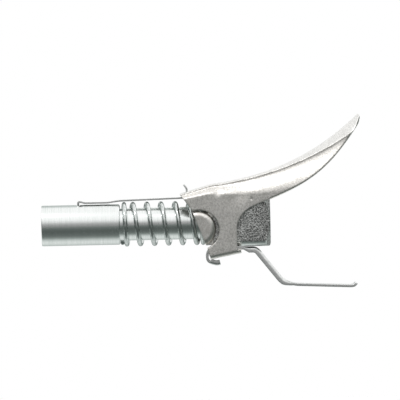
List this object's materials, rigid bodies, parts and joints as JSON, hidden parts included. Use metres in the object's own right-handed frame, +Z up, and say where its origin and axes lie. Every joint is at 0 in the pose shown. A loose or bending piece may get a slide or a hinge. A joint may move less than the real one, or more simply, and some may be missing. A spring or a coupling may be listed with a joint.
{
  "type": "grease coupler",
  "caption": "Quick-release grease coupler: sprung sleeve over gripping jaws, pulled back by a strap when its curved thumb lever is pressed towards the lower grip.",
  "frame": {"origin": "centre of the inlet mouth on the rear face of the square block", "axes": "+X out of the inlet along the tube's axis, +Z up towards the lever, nose at -X"},
  "size_m": [0.1184, 0.0228, 0.0642],
  "materials": {
    "body_steel": "zinc plated, grainy on the block, turned and bright on the tube",
    "seat_brass": "turned",
    "ball_steel": "polished",
    "spring_steel": "zinc plated wire",
    "piston_steel": "turned",
    "seal_rubber": "moulded black nitrile",
    "jaw_steel": "hardened, dull",
    "sleeve_zinc": "turned and bright zinc plated",
    "sheet_zinc": "bright zinc plated strip",
    "lever_zinc": "stamped sheet, satin zinc plated"
  },
  "bodies": {
    "coupler": {"body": "body_steel", "valve_seat": "seat_brass", "inner_spring": "spring_steel", "main_spring": "spring_steel", "spring_washer": "sheet_zinc", "pivot_collar": "sheet_zinc"},
    "ball": {"check_ball": "ball_steel"},
    "piston": {"seal_piston": "piston_steel", "seal_washer": "piston_steel", "nose_seal": "seal_rubber"},
    "jaw_1": {"jaw_1": "jaw_steel"},
    "jaw_2": {"jaw_2": "jaw_steel"},
    "jaw_3": {"jaw_3": "jaw_steel"},
    "jaw_4": {"jaw_4": "jaw_steel"},
    "sleeve": {"sleeve": "sleeve_zinc"},
    "strap": {"strap": "sheet_zinc"},
    "lever": {"lever": "lever_zinc"},
    "lower_grip": {"lower_grip": "sheet_zinc"}
  },
  "joints": [
    {"name": "lever_press", "type": "hinge", "parent": "coupler", "child": "lever", "pos_m": [-0.02675, 0, -0.0023], "axis": [0, 1, 0], "range_deg": [0, 12], "stiffness_Nm_per_rad": 1.2, "springref_deg": -11.46},
    {"name": "sleeve_slide", "type": "slide", "parent": "coupler", "child": "sleeve", "axis": [1, 0, 0], "range_m": [0, 0.003], "deforming": ["main_spring"]},
    {"name": "strap_tilt", "type": "hinge", "parent": "sleeve", "child": "strap", "pos_m": [-0.0709, 0, 0.0068], "axis": [0, 1, 0], "range_deg": [-1.2, 0]},
    {"name": "grip_swing", "type": "hinge", "parent": "lever", "child": "lower_grip", "pos_m": [-0.0223, 0, -0.0136], "axis": [0, 1, 0], "range_deg": [-14, 0]},
    {"name": "jaw_1_open", "type": "hinge", "parent": "coupler", "child": "jaw_1", "pos_m": [-0.0721, 0.00297, -0.00297], "axis": [0, -0.7071, -0.7071], "range_deg": [0, 4.2]},
    {"name": "jaw_2_open", "type": "hinge", "parent": "coupler", "child": "jaw_2", "pos_m": [-0.0721, 0.00297, 0.00297], "axis": [0, 0.7071, -0.7071], "range_deg": [0, 4.2]},
    {"name": "jaw_3_open", "type": "hinge", "parent": "coupler", "child": "jaw_3", "pos_m": [-0.0721, -0.00297, 0.00297], "axis": [0, 0.7071, 0.7071], "range_deg": [0, 4.2]},
    {"name": "jaw_4_open", "type": "hinge", "parent": "coupler", "child": "jaw_4", "pos_m": [-0.0721, -0.00297, -0.00297], "axis": [0, -0.7071, 0.7071], "range_deg": [0, 4.2]},
    {"name": "piston_slide", "type": "slide", "parent": "coupler", "child": "piston", "axis": [1, 0, 0], "range_m": [0, 0.0015], "stiffness_N_per_m": 600, "springref_m": -0.003, "deforming": ["inner_spring"]},
    {"name": "ball_lift", "type": "slide", "parent": "coupler", "child": "ball", "axis": [-1, 0, 0], "range_m": [0, 0.001], "stiffness_N_per_m": 200, "springref_m": -0.002, "deforming": ["inner_spring"]}
  ],
  "couplings": [
    {"joint": "sleeve_slide", "follows": "lever_press", "m_per_rad": 0.0137},
    {"joint": "strap_tilt", "follows": "lever_press", "ratio": -0.06},
    {"joint": "grip_swing", "follows": "lever_press", "ratio": -1.1},
    {"joint": "jaw_1_open", "follows": "lever_press", "ratio": 0.3333},
    {"joint": "jaw_2_open", "follows": "lever_press", "ratio": 0.3333},
    {"joint": "jaw_3_open", "follows": "lever_press", "ratio": 0.3333},
    {"joint": "jaw_4_open", "follows": "lever_press", "ratio": 0.3333}
  ]
}
